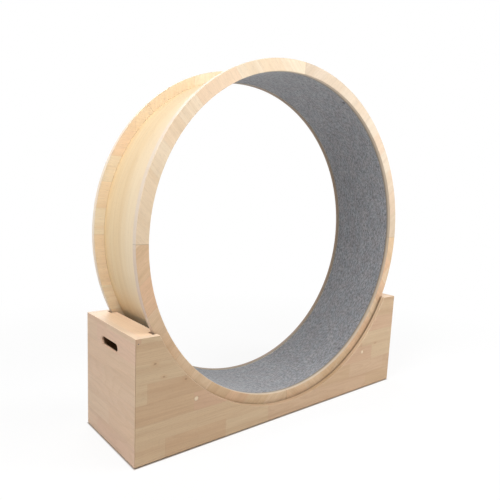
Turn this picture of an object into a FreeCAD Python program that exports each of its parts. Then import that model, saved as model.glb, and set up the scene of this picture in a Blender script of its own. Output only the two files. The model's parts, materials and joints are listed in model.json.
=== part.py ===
"""Large wooden exercise wheel for a cat, on a closed box base.

The origin is on the floor under the middle of the base. +X runs along the base, to the viewer's
right, +Y runs through the wheel, away from the viewer, and +Z is up. All sizes are millimetres.

The wheel is a bent-ply drum let into two wooden rims, with a felt mat laid inside it. Each rim is
four quarter arcs butted on loose splines, with the rear rim's joints halfway between the front's.
The wheel lies on four ball-bearing rollers, which hang on bolts through the two long panels of
the base, two under each rim.
"""
import FreeCAD, Part
import math
import os

from FreeCAD import Vector

# ---- wheel ---------------------------------------------------------------------------------
rim_radius = 600.0           # outside of the two wooden rims
rim_width = 40.0             # of the rim, measured along its radius
rim_thickness = 18.0
wheel_width = 310.0          # over both rims
rim_round = 2.0              # rounded edges of the rims' outer faces
rim_quarters = 4             # arcs that make one rim
rear_rim_turn = 45.0         # the rear rim's joints lie this far round from the front rim's
groove_depth = 6.0           # how far the drum is let into each rim
mat_thickness = 3.0
mat_recess = 1.0             # the mat's face lies this far behind the rims' inner edges
mat_seam_gap = 0.6           # butt joint of the mat
mat_seam_angle = -90.0       # turn from the top, clockwise as seen from the front
drum_thickness = 4.0
drum_seam_angle = 30.0
strap_width = 50.0           # ply straps over the drum's two seams
strap_thickness = 4.0
spline_length = 40.0
spline_width = 22.0
spline_thickness = 6.0
glue_gap = 0.05              # film of glue between curved faces of one body

# ---- rollers and their bearings --------------------------------------------------------------
roller_angle = 40.2          # of each roller from straight down, about the wheel's centre
tyre_radius = 29.7
tyre_wall = 6.0
running_gap = 0.3            # between tyre and rim
tyre_overhang = 1.2          # of the tyre past the rim's outer face
guide_thickness = 5.0        # disc beside the rim's inner face, keeps the wheel from creeping
guide_lap = 6.7              # how far the disc reaches up beside the rim
guide_gap = 0.8              # between disc and rim
bearing_bore = 8.0
bearing_diameter = 22.0
bearing_width = 7.0
race_wall = 1.9
ball_radius = 1.75
ball_groove_gap = 0.25
balls_per_bearing = 7
sleeve_wall = 1.6
hub_web = 1.5                # shoulder in the hub's bore, stops both bearings

# ---- bolts through the long panels ---------------------------------------------------------
bolt_slack = 0.05            # bolt shank under the bearing's bore, on the radius
panel_hole_slack = 0.1
head_radius = 6.5
head_height = 5.0
socket_flats = 5.0
socket_depth = 3.0
washer_thickness = 1.6
nut_flats = 13.0
nut_height = 8.0
thread_past_nut = 2.0
cap_radius = 7.5             # wooden button over the bolt's head
cap_depth = 4.0
cap_dome = 1.5
cap_slack = 0.05

# ---- base ----------------------------------------------------------------------------------
base_height = 387.0
foot_height = 4.0
foot_diameter = 25.0
foot_inset = 32.0            # from the floor panel's edges to a foot's centre
wheel_clearance = 46.0       # from the floor to the wheel's lowest point
panel_thickness = 18.0
side_gap = 4.0               # between a rim's face and the long panel
arc_lap = 7.0                # the long panels cover this much of the rims
corner_round = 3.0
edge_round = 1.5
top_board_width = 62.5       # along X
board_gap = 22.0             # from the top board to the drum
notch_gap = 7.0              # from the end of a notch to the rim
notch_length = 29.0          # of a notch in the top board, measured from the long panel
notch_round = 2.0
slot_length = 116.0          # hand slot in each end panel
slot_height = 24.0
slot_drop = 61.0             # from the top of the base to the slot's centre line
slot_lip = 6.0               # full thickness of the slot's edge before its inner bevel
slot_round = 2.0

# ---- cleats, dowels, screws and pins --------------------------------------------------------
cleat_size = 20.0
screw_radius = 2.0
screw_head_radius = 4.0
screw_head_depth = 2.4
screw_bite = 12.0            # of a screw into the panel behind the cleat
screw_inset = 60.0           # of the outer screws from the ends of a cleat
dowel_radius = 4.0
dowel_length = 30.0
dowel_bite = 11.0            # of a dowel into the upright panel
dowel_spacing = 230.0        # between dowels along the long panels
pin_radius = 0.8
pin_head_radius = 1.6
pin_head_height = 1.2
pin_length = 25.0
pin_inset = 9.0              # of a pin from the end of the long panel
pin_drop = 15.0              # of a pin below the top edge
pin_sink = 0.4
hole_slack = 0.05

# ---- worked out from the sizes above -------------------------------------------------------
rim_inner_radius = rim_radius - rim_width
mat_inner_radius = rim_inner_radius + mat_recess
drum_inner_radius = mat_inner_radius + mat_thickness
drum_radius = drum_inner_radius + drum_thickness
wheel_z = wheel_clearance + rim_radius
rim_face = wheel_width / 2                     # |y| of a rim's outer face
rim_back = rim_face - rim_thickness            # |y| of a rim's inner face
drum_end = rim_back + groove_depth

panel_in = rim_face + side_gap                 # |y| of a long panel's inner face
panel_out = panel_in + panel_thickness
panel_low = foot_height
panel_tall = base_height - panel_low
arc_radius = rim_radius - arc_lap
rise_to_wheel = wheel_z - base_height
board_x = math.sqrt(drum_radius ** 2 - rise_to_wheel ** 2) + board_gap
notch_x = math.sqrt(rim_radius ** 2 - rise_to_wheel ** 2) + notch_gap
end_in = board_x + top_board_width             # |x| of an end panel's inner face
end_out = end_in + panel_thickness
notch_y = panel_in - notch_length

roller_orbit = rim_radius + running_gap + tyre_radius
roller_x = roller_orbit * math.sin(math.radians(roller_angle))
roller_z = wheel_z - roller_orbit * math.cos(math.radians(roller_angle))
hub_in = rim_back - guide_gap                  # |y| where tyre and guide disc meet
guide_in = hub_in - guide_thickness
tyre_out = rim_face + tyre_overhang
hub_radius = tyre_radius - tyre_wall
guide_radius = tyre_radius + running_gap + guide_lap
bearing_radius = bearing_diameter / 2
inner_race_radius = bearing_bore / 2 + race_wall
outer_race_radius = bearing_radius - race_wall
ball_orbit = (bearing_bore / 2 + bearing_radius) / 2
shank_radius = bearing_bore / 2 - bolt_slack
nut_out = guide_in - washer_thickness
bolt_end = nut_out - nut_height - thread_past_nut
head_seat = panel_out - cap_depth - head_height

FRONT, REAR = -1, 1
LEFT, RIGHT = -1, 1
CENTRE = Vector(0, 0, wheel_z)
ALONG_Y = Vector(0, 1, 0)


# ---- shapes that repeat --------------------------------------------------------------------
def disc(radius, y0, y1, x=0.0, z=wheel_z):
    """Solid cylinder along Y between two depths."""
    low = min(y0, y1)
    return Part.makeCylinder(radius, abs(y1 - y0), Vector(x, low, z), ALONG_Y)


def ring(inner, outer, y0, y1, x=0.0, z=wheel_z):
    """Flat ring or tube along Y between two depths."""
    return disc(outer, y0, y1, x, z).cut(disc(inner, y0, y1, x, z))


def sector(start, end, reach, depth):
    """Wedge about the wheel's axis, from one turn to another, both counted from the top."""
    wedge = Part.makeCylinder(reach, 2 * depth, CENTRE - ALONG_Y * depth, ALONG_Y, end - start)
    # A fresh wedge begins at straight down or straight up; its own middle shows which way it lies.
    middle = wedge.CenterOfMass - CENTRE
    turn_now = math.degrees(math.atan2(middle.x, middle.z))
    turn_wanted = (start + end) / 2
    return wedge.rotated(CENTRE, ALONG_Y, turn_wanted - turn_now)


def block(x0, x1, y0, y1, z0, z1):
    """Box between two corners, given in any order."""
    low = Vector(min(x0, x1), min(y0, y1), min(z0, z1))
    return Part.makeBox(abs(x1 - x0), abs(y1 - y0), abs(z1 - z0), low)


def prism_y(points, y0, y1):
    """Solid of a closed outline of (x, z) points, pulled along Y."""
    corners = [Vector(x, y0, z) for x, z in points]
    face = Part.Face(Part.makePolygon(corners + corners[:1]))
    return face.extrude(Vector(0, y1 - y0, 0))


def hexagon_y(flats, y0, y1, x, z):
    """Hexagonal bar along Y."""
    corner = flats / 2 / math.cos(math.radians(30))
    turns = [math.radians(60 * step) for step in range(6)]
    points = [(x + corner * math.cos(turn), z + corner * math.sin(turn)) for turn in turns]
    return prism_y(points, y0, y1)


def round_circles(solid, radius, edge_radius, depth):
    """Round a solid's circular edges of one radius that lie at one depth."""
    edges = []
    for edge in solid.Edges:
        curve = edge.Curve
        if isinstance(curve, Part.Circle) and abs(curve.Radius - radius) < 0.01:
            if abs(edge.BoundBox.YMin - depth) < 0.01 and edge.BoundBox.YLength < 0.01:
                edges.append(edge)
    return solid.makeFillet(edge_radius, edges)


def save(node, solids):
    """Write one node; a list is a group of separate solids."""
    shape = Part.makeCompound(solids) if isinstance(solids, list) else solids
    for solid in shape.Solids:
        if not solid.isValid():
            print("not valid:", node)
    print("%-28s solids %2d  volume %.1f" % (node, len(shape.Solids), shape.Volume))
    shape.exportStep("parts/%s.step" % node)


# ---- the wheel -----------------------------------------------------------------------------
def rim_joints(side):
    """Turns of one rim's joints, clockwise from the top as seen from the front."""
    first = rear_rim_turn if side == REAR else 0.0
    return [first + step * 360 / rim_quarters for step in range(rim_quarters)]


def spline_slot(turn, side, slack):
    """Loose spline across a rim joint, or the slot for it when it has slack."""
    middle = (rim_radius + rim_inner_radius) / 2
    across = spline_width / 2 + slack
    along = spline_length / 2 + slack
    thick = spline_thickness / 2 + slack
    depth = side * (rim_face + rim_back + groove_depth) / 2
    bar = block(-along, along, depth - thick, depth + thick,
                wheel_z + middle - across, wheel_z + middle + across)
    return bar.rotated(CENTRE, ALONG_Y, turn)


def rim(side):
    """One whole rim, grooved for the drum and slotted for its splines."""
    whole = ring(rim_inner_radius, rim_radius, side * rim_back, side * rim_face)
    for radius in (rim_inner_radius, rim_radius):
        whole = round_circles(whole, radius, rim_round, side * rim_face)
    groove = ring(drum_inner_radius - glue_gap, drum_radius + glue_gap,
                  side * rim_back, side * drum_end)
    whole = whole.cut(groove)
    for turn in rim_joints(side):
        whole = whole.cut(spline_slot(turn, side, glue_gap))
    return whole


def rim_arcs(side):
    """The rim's arcs, clockwise from its first joint as seen from the front."""
    whole = rim(side)
    span = 360 / rim_quarters
    reach = rim_radius + 10
    return [whole.common(sector(turn, turn + span, reach, panel_out)) for turn in rim_joints(side)]


def drum_halves():
    """Two bent-ply half shells that butt at the seams."""
    shell = ring(drum_inner_radius, drum_radius, -drum_end, drum_end)
    halves = []
    for start in (drum_seam_angle, drum_seam_angle + 180):
        halves.append(shell.common(sector(start, start + 180, rim_radius, panel_out)))
    return halves


def drum_straps():
    """Bent strap outside each seam of the drum, between the rims."""
    inner = drum_radius + glue_gap
    tube = ring(inner, inner + strap_thickness, -rim_back, rim_back)
    half_turn = math.degrees(strap_width / 2 / inner)
    straps = []
    for seam in (drum_seam_angle, drum_seam_angle + 180):
        straps.append(tube.common(sector(seam - half_turn, seam + half_turn, rim_radius, panel_out)))
    return straps


def running_mat():
    """Felt laid once round the inside of the drum, its ends butted."""
    felt = ring(mat_inner_radius, drum_inner_radius - glue_gap, -rim_back, rim_back)
    half_turn = math.degrees(mat_seam_gap / 2 / mat_inner_radius)
    seam = sector(mat_seam_angle - half_turn, mat_seam_angle + half_turn, rim_radius, panel_out)
    return felt.cut(seam)


# ---- one roller, at its place in the base -----------------------------------------------------
def bearing_spans(side):
    """Depths of a roller's two bearings: at the panel's side, and inside the guide disc."""
    outer = (side * (tyre_out - bearing_width), side * tyre_out)
    inner = (side * guide_in, side * (guide_in + bearing_width))
    return [outer, inner]


def ball_track(span, x):
    """Torus that both races are ground out with."""
    middle = Vector(x, sum(span) / 2, roller_z)
    return Part.makeTorus(ball_orbit, ball_radius + ball_groove_gap, middle, ALONG_Y)


def tyre(side, x):
    return ring(hub_radius + glue_gap, tyre_radius, side * hub_in, side * tyre_out, x, roller_z)


def hub(side, x):
    """Moulded core, bored from both ends and left with a shoulder between the bearings."""
    seat = bearing_radius + glue_gap
    body = disc(hub_radius, side * hub_in, side * tyre_out, x, roller_z)
    for span in bearing_spans(side):
        body = body.cut(disc(seat, span[0], span[1], x, roller_z))
    through = bearing_radius - hub_web
    return body.cut(disc(through, side * hub_in, side * tyre_out, x, roller_z))


def guide_disc(side, x):
    seat = bearing_radius + glue_gap
    return ring(seat, guide_radius, side * guide_in, side * hub_in, x, roller_z)


def outer_rings(side, x):
    rings = []
    for span in bearing_spans(side):
        plain = ring(outer_race_radius, bearing_radius, span[0], span[1], x, roller_z)
        rings.append(plain.cut(ball_track(span, x)))
    return rings


def inner_rings(side, x):
    rings = []
    for span in bearing_spans(side):
        plain = ring(bearing_bore / 2, inner_race_radius, span[0], span[1], x, roller_z)
        rings.append(plain.cut(ball_track(span, x)))
    return rings


def balls(side, x):
    spheres = []
    for span in bearing_spans(side):
        for step in range(balls_per_bearing):
            turn = 2 * math.pi * step / balls_per_bearing
            spot = Vector(x + ball_orbit * math.cos(turn), sum(span) / 2,
                          roller_z + ball_orbit * math.sin(turn))
            spheres.append(Part.makeSphere(ball_radius, spot))
    return spheres


def sleeve(side, x):
    """Tube on the bolt that holds the two inner rings apart."""
    bore = bearing_bore / 2
    return ring(bore, bore + sleeve_wall, side * (guide_in + bearing_width),
                side * (tyre_out - bearing_width), x, roller_z)


def panel_spacer(side, x):
    """Tube between the long panel and the first inner ring."""
    bore = bearing_bore / 2
    return ring(bore, bore + sleeve_wall, side * tyre_out, side * panel_in, x, roller_z)


def nut_washer(side, x):
    bore = bearing_bore / 2
    return ring(bore, bore + sleeve_wall, side * nut_out, side * guide_in, x, roller_z)


def axle_bolt(side, x):
    """Low-headed socket bolt, its head sunk in the long panel."""
    shank = disc(shank_radius, side * bolt_end, side * head_seat, x, roller_z)
    head = disc(head_radius, side * head_seat, side * (head_seat + head_height), x, roller_z)
    top = head_seat + head_height
    socket = hexagon_y(socket_flats, side * (top - socket_depth), side * top, x, roller_z)
    return shank.fuse(head).cut(socket).removeSplitter()


def axle_nut(side, x):
    body = hexagon_y(nut_flats, side * (nut_out - nut_height), side * nut_out, x, roller_z)
    return body.cut(disc(shank_radius, side * (nut_out - nut_height), side * nut_out, x, roller_z))


def axle_cap(side, x):
    """Turned wooden button, a plug with a low dome that stands proud of the panel."""
    plug = disc(cap_radius, side * (panel_out - cap_depth), side * panel_out, x, roller_z)
    dome_radius = (cap_radius ** 2 + cap_dome ** 2) / 2 / cap_dome
    ball = Part.makeSphere(dome_radius, Vector(x, side * (panel_out + cap_dome - dome_radius), roller_z))
    slice_out = disc(2 * cap_radius, side * panel_out, side * (panel_out + 2 * cap_dome), x, roller_z)
    return plug.fuse(ball.common(slice_out)).removeSplitter()


# ---- the base ------------------------------------------------------------------------------
def envelope():
    """Outside of the whole box, with its rounded upright corners and top edges."""
    box = block(-end_out, end_out, -panel_out, panel_out, panel_low, base_height)
    upright = [edge for edge in box.Edges if edge.BoundBox.ZLength > 1]
    box = box.makeFillet(corner_round, upright)
    top = [edge for edge in box.Edges
           if edge.BoundBox.ZLength < 0.01 and edge.BoundBox.ZMin > base_height - 0.01]
    return box.makeFillet(edge_round, top)


def mitre(side):
    """Everything in front of the base's diagonals, where its long panel lies."""
    outline = [(-end_out - 1, panel_out + 1), (end_out + 1, panel_out + 1),
               (end_in - 1, panel_in - 1), (-end_in + 1, panel_in - 1)]
    corners = [Vector(x, side * y, panel_low) for x, y in outline]
    face = Part.Face(Part.makePolygon(corners + corners[:1]))
    return face.extrude(Vector(0, 0, panel_tall))


def cleat_screw_heights():
    """Heights of the screws in an upright corner cleat."""
    low = panel_low + panel_thickness
    high = base_height - panel_thickness
    return [low + screw_inset, high - screw_inset]


def cleat_screw(head, direction, slack=0.0):
    """Countersunk screw with its head flush at one point, or the hole for it with slack."""
    length = cleat_size + screw_bite + slack
    shank = Part.makeCylinder(screw_radius + slack, length, head, direction)
    cone = Part.makeCone(screw_head_radius + slack, screw_radius + slack, screw_head_depth,
                         head, direction)
    return shank.fuse(cone).removeSplitter()


def corner_screws(slack=0.0):
    """Screws from the corner cleats into the long panels and the end panels."""
    screws = []
    half = cleat_size / 2
    for end in (LEFT, RIGHT):
        for side in (FRONT, REAR):
            for height in cleat_screw_heights():
                into_long = Vector(end * (end_in - half), side * (panel_in - cleat_size), height)
                screws.append(cleat_screw(into_long, Vector(0, side, 0), slack))
                into_end = Vector(end * (end_in - cleat_size), side * (panel_in - half),
                                  height + screw_inset / 2)
                screws.append(cleat_screw(into_end, Vector(end, 0, 0), slack))
    return screws


def top_cleat_screws(slack=0.0):
    """Screws from the top cleats into the end panels and up into the top boards."""
    screws = []
    half = cleat_size / 2
    top = base_height - panel_thickness
    reach = panel_in - cleat_size - half
    for end in (LEFT, RIGHT):
        for y in (-reach, reach):
            into_end = Vector(end * (end_in - cleat_size), y, top - half)
            screws.append(cleat_screw(into_end, Vector(end, 0, 0), slack))
            inner = Vector(end * (end_in - half), y - math.copysign(cleat_size, y), top - cleat_size)
            screws.append(cleat_screw(inner, Vector(0, 0, 1), slack))
    return screws


def dowel_row(slack=0.0):
    """Blind dowels between the floor panel and the long panels."""
    height = panel_low + panel_thickness / 2
    radius = dowel_radius + slack
    rods = []
    for side in (FRONT, REAR):
        for step in (-2, -1, 0, 1, 2):
            x = step * dowel_spacing
            start = side * (panel_in + dowel_bite - dowel_length)
            stop = side * (panel_in + dowel_bite)
            rods.append(disc(radius, start, stop, x, height))
    return rods


def corner_pins(slack=0.0):
    """Panel pins through the long panels' mitres into the end panels."""
    pins = []
    for end in (LEFT, RIGHT):
        for side in (FRONT, REAR):
            x = end * (end_out - pin_inset)
            z = base_height - pin_drop
            face = panel_out if slack else panel_out - pin_sink
            neck = panel_out - pin_sink - pin_head_height
            head = disc(pin_head_radius + slack, side * neck, side * face, x, z)
            shank = disc(pin_radius + slack, side * (panel_out - pin_sink - pin_length),
                         side * neck, x, z)
            pins.append(head.fuse(shank).removeSplitter())
    return pins


def axle_holes(side):
    """Clearance hole and counterbore for each bolt of one long panel."""
    holes = []
    for end in (LEFT, RIGHT):
        x = end * roller_x
        holes.append(disc(bearing_bore / 2 + panel_hole_slack, side * panel_in,
                          side * panel_out, x, roller_z))
        holes.append(disc(cap_radius + cap_slack, side * head_seat,
                          side * (panel_out + 1), x, roller_z))
    return holes


def long_panel(side, box, holes):
    """Front or rear panel, with the arc that shows the wheel."""
    slab = block(-end_out, end_out, side * panel_in, side * panel_out, panel_low, base_height)
    slab = slab.cut(disc(arc_radius, side * (panel_in - 1), side * (panel_out + 1)))
    slab = round_circles(slab, arc_radius, edge_round, side * panel_out)
    slab = slab.common(mitre(side)).common(box)
    return slab.cut(holes + axle_holes(side))


def slot_outline(x, grow):
    """Rounded slot outline across X, larger all round by one amount."""
    radius = slot_height / 2 + grow
    half = slot_length / 2 - slot_height / 2
    middle = base_height - slot_drop
    top_left = Vector(x, -half, middle + radius)
    top_right = Vector(x, half, middle + radius)
    low_left = Vector(x, -half, middle - radius)
    low_right = Vector(x, half, middle - radius)
    right_end = Part.Arc(top_right, Vector(x, half + radius, middle), low_right)
    left_end = Part.Arc(low_left, Vector(x, -half - radius, middle), top_left)
    edges = [Part.LineSegment(top_left, top_right), right_end,
             Part.LineSegment(low_right, low_left), left_end]
    return Part.Wire([edge.toShape() for edge in edges])


def hand_slot(end):
    """Cutter for a hand slot: eased at the outside, straight at its lip, bevelled inside."""
    bevel = panel_thickness - slot_lip
    stations = [(end_out, slot_round), (end_out - slot_round, 0.0),
                (end_out - slot_lip, 0.0), (end_in, bevel)]
    cutters = []
    for outer, inner in zip(stations, stations[1:]):
        wires = [slot_outline(end * outer[0], outer[1]), slot_outline(end * inner[0], inner[1])]
        cutters.append(Part.makeLoft(wires, True, True))
    return cutters


def end_panel(end, box, holes):
    """Left or right panel, with its hand slot."""
    slab = block(end * end_in, end * end_out, -panel_out, panel_out, panel_low, base_height)
    slab = slab.common(box)
    for side in (FRONT, REAR):
        slab = slab.cut(mitre(side))
    return slab.cut(holes + hand_slot(end))


def top_board(end, holes):
    """Board let in between the panels, notched where the rims pass its corners."""
    low = base_height - panel_thickness
    board = block(end * board_x, end * end_in, -panel_in, panel_in, low, base_height)
    for side in (FRONT, REAR):
        notch = block(end * (board_x - notch_gap), end * notch_x, side * notch_y,
                      side * (panel_in + notch_gap), low, base_height)
        corner = [edge for edge in notch.Edges
                  if edge.BoundBox.ZLength > 1
                  and abs(edge.BoundBox.YMin - side * notch_y) < 0.01
                  and abs(edge.BoundBox.XMin - end * notch_x) < 0.01]
        board = board.cut(notch.makeFillet(notch_round, corner))
    return board.cut(holes)


def floor_panel(holes):
    low = panel_low
    board = block(-end_in, end_in, -panel_in, panel_in, low, low + panel_thickness)
    return board.cut(holes)


def corner_cleat(end, side, holes):
    low = panel_low + panel_thickness
    high = base_height - panel_thickness
    bar = block(end * (end_in - cleat_size), end * end_in,
                side * (panel_in - cleat_size), side * panel_in, low, high)
    return bar.cut(holes)


def top_cleat(end, holes):
    """Bar under a top board, between the two corner cleats."""
    top = base_height - panel_thickness
    reach = panel_in - cleat_size
    bar = block(end * (end_in - cleat_size), end * end_in, -reach, reach, top - cleat_size, top)
    return bar.cut(holes)


def glide_feet():
    """Felt-hard glides under the floor panel."""
    feet = []
    reach_x = end_in - foot_inset
    reach_y = panel_in - foot_inset
    for x in (-reach_x, 0.0, reach_x):
        for y in (-reach_y, reach_y):
            foot = Part.makeCylinder(foot_diameter / 2, foot_height, Vector(x, y, 0))
            low = [edge for edge in foot.Edges if edge.BoundBox.ZMax < 0.01]
            feet.append(foot.makeFillet(foot_height / 4, low))
    return feet


# ---- build and write every node ------------------------------------------------------------
os.makedirs("parts", exist_ok=True)

side_names = {FRONT: "front", REAR: "rear"}
end_names = {LEFT: "left", RIGHT: "right"}
quarter_names = {FRONT: ["upper_right", "lower_right", "lower_left", "upper_left"],
                 REAR: ["right", "bottom", "left", "top"]}

for side, side_name in side_names.items():
    for number, arc in enumerate(rim_arcs(side)):
        name = "arc_%d" % (number + 1)
        if rim_quarters == len(quarter_names[side]):
            name = quarter_names[side][number]
        save("rim_%s_%s" % (side_name, name), arc)
for name, half in zip(("right", "left"), drum_halves()):
    save("drum_%s_half" % name, half)
save("drum_seam_straps", drum_straps())
save("running_mat", running_mat())
save("rim_splines", [spline_slot(turn, side, 0.0)
                     for side in side_names for turn in rim_joints(side)])

stations = [(side, end) for side in side_names for end in end_names]
for side, end in stations:
    place = "%s_%s" % (side_names[side], end_names[end])
    x = end * roller_x
    save("roller_tyre_" + place, tyre(side, x))
    save("roller_hub_" + place, hub(side, x))
    save("guide_disc_" + place, guide_disc(side, x))
    save("bearing_outer_rings_" + place, outer_rings(side, x))
    save("bearing_balls_" + place, balls(side, x))

spots = [(side, end * roller_x) for side, end in stations]
save("bearing_inner_rings", [race for side, x in spots for race in inner_rings(side, x)])
save("bearing_sleeves", [sleeve(side, x) for side, x in spots])
save("panel_spacers", [panel_spacer(side, x) for side, x in spots])
save("nut_washers", [nut_washer(side, x) for side, x in spots])
save("axle_bolts", [axle_bolt(side, x) for side, x in spots])
save("axle_nuts", [axle_nut(side, x) for side, x in spots])
save("axle_caps", [axle_cap(side, x) for side, x in spots])

outside = envelope()
screw_holes = corner_screws(hole_slack) + top_cleat_screws(hole_slack)
pin_holes = corner_pins(hole_slack)
dowel_holes = dowel_row(hole_slack)
for side, side_name in side_names.items():
    save(side_name + "_panel", long_panel(side, outside, screw_holes + pin_holes + dowel_holes))
for end, end_name in end_names.items():
    save(end_name + "_end_panel", end_panel(end, outside, screw_holes + pin_holes))
    save(end_name + "_top_board", top_board(end, screw_holes))
    save(end_name + "_top_cleat", top_cleat(end, screw_holes))
for side, end in stations:
    name = "corner_cleat_%s_%s" % (side_names[side], end_names[end])
    save(name, corner_cleat(end, side, screw_holes))
save("floor_panel", floor_panel(dowel_holes))
save("floor_dowels", dowel_row())
save("cleat_screws", corner_screws() + top_cleat_screws())
save("corner_pins", corner_pins())
save("glide_feet", glide_feet())
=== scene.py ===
"""Looks of a large wooden exercise wheel for a cat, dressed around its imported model, in metres.

The file follows the wheel as it is put together: the box base, its rollers, then the wheel itself.
"""
import json
import math

import bmesh
import bpy
from mathutils import Matrix, Vector, noise


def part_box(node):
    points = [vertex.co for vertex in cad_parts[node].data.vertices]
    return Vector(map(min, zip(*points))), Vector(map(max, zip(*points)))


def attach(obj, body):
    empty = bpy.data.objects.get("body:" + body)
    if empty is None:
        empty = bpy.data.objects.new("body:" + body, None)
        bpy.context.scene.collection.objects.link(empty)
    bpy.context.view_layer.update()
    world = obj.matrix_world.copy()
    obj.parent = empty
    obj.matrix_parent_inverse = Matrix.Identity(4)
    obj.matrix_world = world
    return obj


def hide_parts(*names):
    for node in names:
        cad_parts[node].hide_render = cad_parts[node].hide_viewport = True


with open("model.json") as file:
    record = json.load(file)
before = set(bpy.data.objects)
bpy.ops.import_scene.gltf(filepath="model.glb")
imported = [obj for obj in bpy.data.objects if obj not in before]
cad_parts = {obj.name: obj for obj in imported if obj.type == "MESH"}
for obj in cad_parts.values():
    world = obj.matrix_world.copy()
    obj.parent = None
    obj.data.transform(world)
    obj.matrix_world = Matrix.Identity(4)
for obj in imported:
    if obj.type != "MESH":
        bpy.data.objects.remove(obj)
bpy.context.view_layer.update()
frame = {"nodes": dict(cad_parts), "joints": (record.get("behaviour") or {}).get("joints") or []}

nodes = frame["nodes"]


# ---- long panels ---------------------------------------------------------------------------
# Front and rear boards of the base, glued up from staves of pale hardwood, mitred at both ends
# and finished with a matt clear lacquer. A wide arc is cut from each top edge to show the wheel.

def put(tree, kind, inputs=None, **settings):
    """Add one shader node; an input is a plain value or another node's output."""
    node = tree.nodes.new("ShaderNode" + kind)
    for name, value in settings.items():
        setattr(node, name, value)
    for name, value in (inputs or {}).items():
        if isinstance(value, bpy.types.NodeSocket):
            tree.links.new(value, node.inputs[name])
        else:
            node.inputs[name].default_value = value
    return node


def calc(tree, operation, *terms):
    """One step of arithmetic on numbers."""
    return put(tree, "Math", dict(enumerate(terms)), operation=operation).outputs[0]


def blend(tree, amount, first, second, how="MIX"):
    """Mix of two colours."""
    node = put(tree, "Mix", {0: amount, 6: first, 7: second}, data_type="RGBA", blend_type=how)
    return node.outputs[2]


def fade(tree, value, low, high, start=0.0, stop=1.0):
    """Smooth step from start to stop as a value goes from low to high."""
    inputs = {"Value": value, "From Min": low, "From Max": high, "To Min": start, "To Max": stop}
    return put(tree, "MapRange", inputs, interpolation_type="SMOOTHSTEP").outputs["Result"]


def stretch(tree, vector, scale, shift=(0.0, 0.0, 0.0)):
    """Coordinates scaled and moved along each axis."""
    inputs = {"Vector": vector, "Scale": scale, "Location": shift}
    return put(tree, "Mapping", inputs).outputs["Vector"]


def cloud(tree, vector, detail=2.0, roughness=0.5):
    """Smooth random value around one half, on coordinates that are already scaled."""
    inputs = {"Vector": vector, "Scale": 1.0, "Detail": detail, "Roughness": roughness}
    return put(tree, "TexNoise", inputs).outputs["Fac"]


def split(tree, vector):
    """The three parts of a vector."""
    return put(tree, "SeparateXYZ", {"Vector": vector}).outputs


def join(tree, x, y, z):
    """A vector of three values."""
    return put(tree, "CombineXYZ", {"X": x, "Y": y, "Z": z}).outputs["Vector"]


def offset(tree, place, point):
    """A place counted from a point."""
    return put(tree, "VectorMath", {0: place, 1: point}, operation="SUBTRACT").outputs["Vector"]


def distance_of(tree, first, second):
    """Distance from an axis, out of the two offsets square to it."""
    flat = join(tree, first, second, 0.0)
    return put(tree, "VectorMath", {0: flat}, operation="LENGTH").outputs["Value"]


def shaded(tree, colour, shade):
    """A colour times a shade or another colour."""
    return blend(tree, 1.0, colour, shade, "MULTIPLY")


def own_place(tree):
    """Coordinates in metres that stay with the piece as it moves."""
    return put(tree, "TexCoord").outputs["Object"]


def new_group(name, inputs, outputs):
    """Empty shader group: its tree, its inputs, and the sockets its results go to."""
    group = bpy.data.node_groups.new(name, "ShaderNodeTree")
    for label, kind in inputs:
        group.interface.new_socket(label, in_out="INPUT", socket_type="NodeSocket" + kind)
    for label, kind in outputs:
        group.interface.new_socket(label, in_out="OUTPUT", socket_type="NodeSocket" + kind)
    given = group.nodes.new("NodeGroupInput").outputs
    result = group.nodes.new("NodeGroupOutput").inputs
    return group, given, result


surface_results = [("Color", "Color"), ("Roughness", "Float"), ("Height", "Float")]
stave_seam_tone = (0.20, 0.11, 0.05, 1.0)
stave_row_shift = 17.37
knot_halo_tone = (0.42, 0.23, 0.11, 1.0)
knot_eye_tone = (0.16, 0.08, 0.035, 1.0)
# dark joints, and painted shade where the drum meets a rim
joint_and_shade_tone = (0.11, 0.06, 0.03, 1.0)


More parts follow.
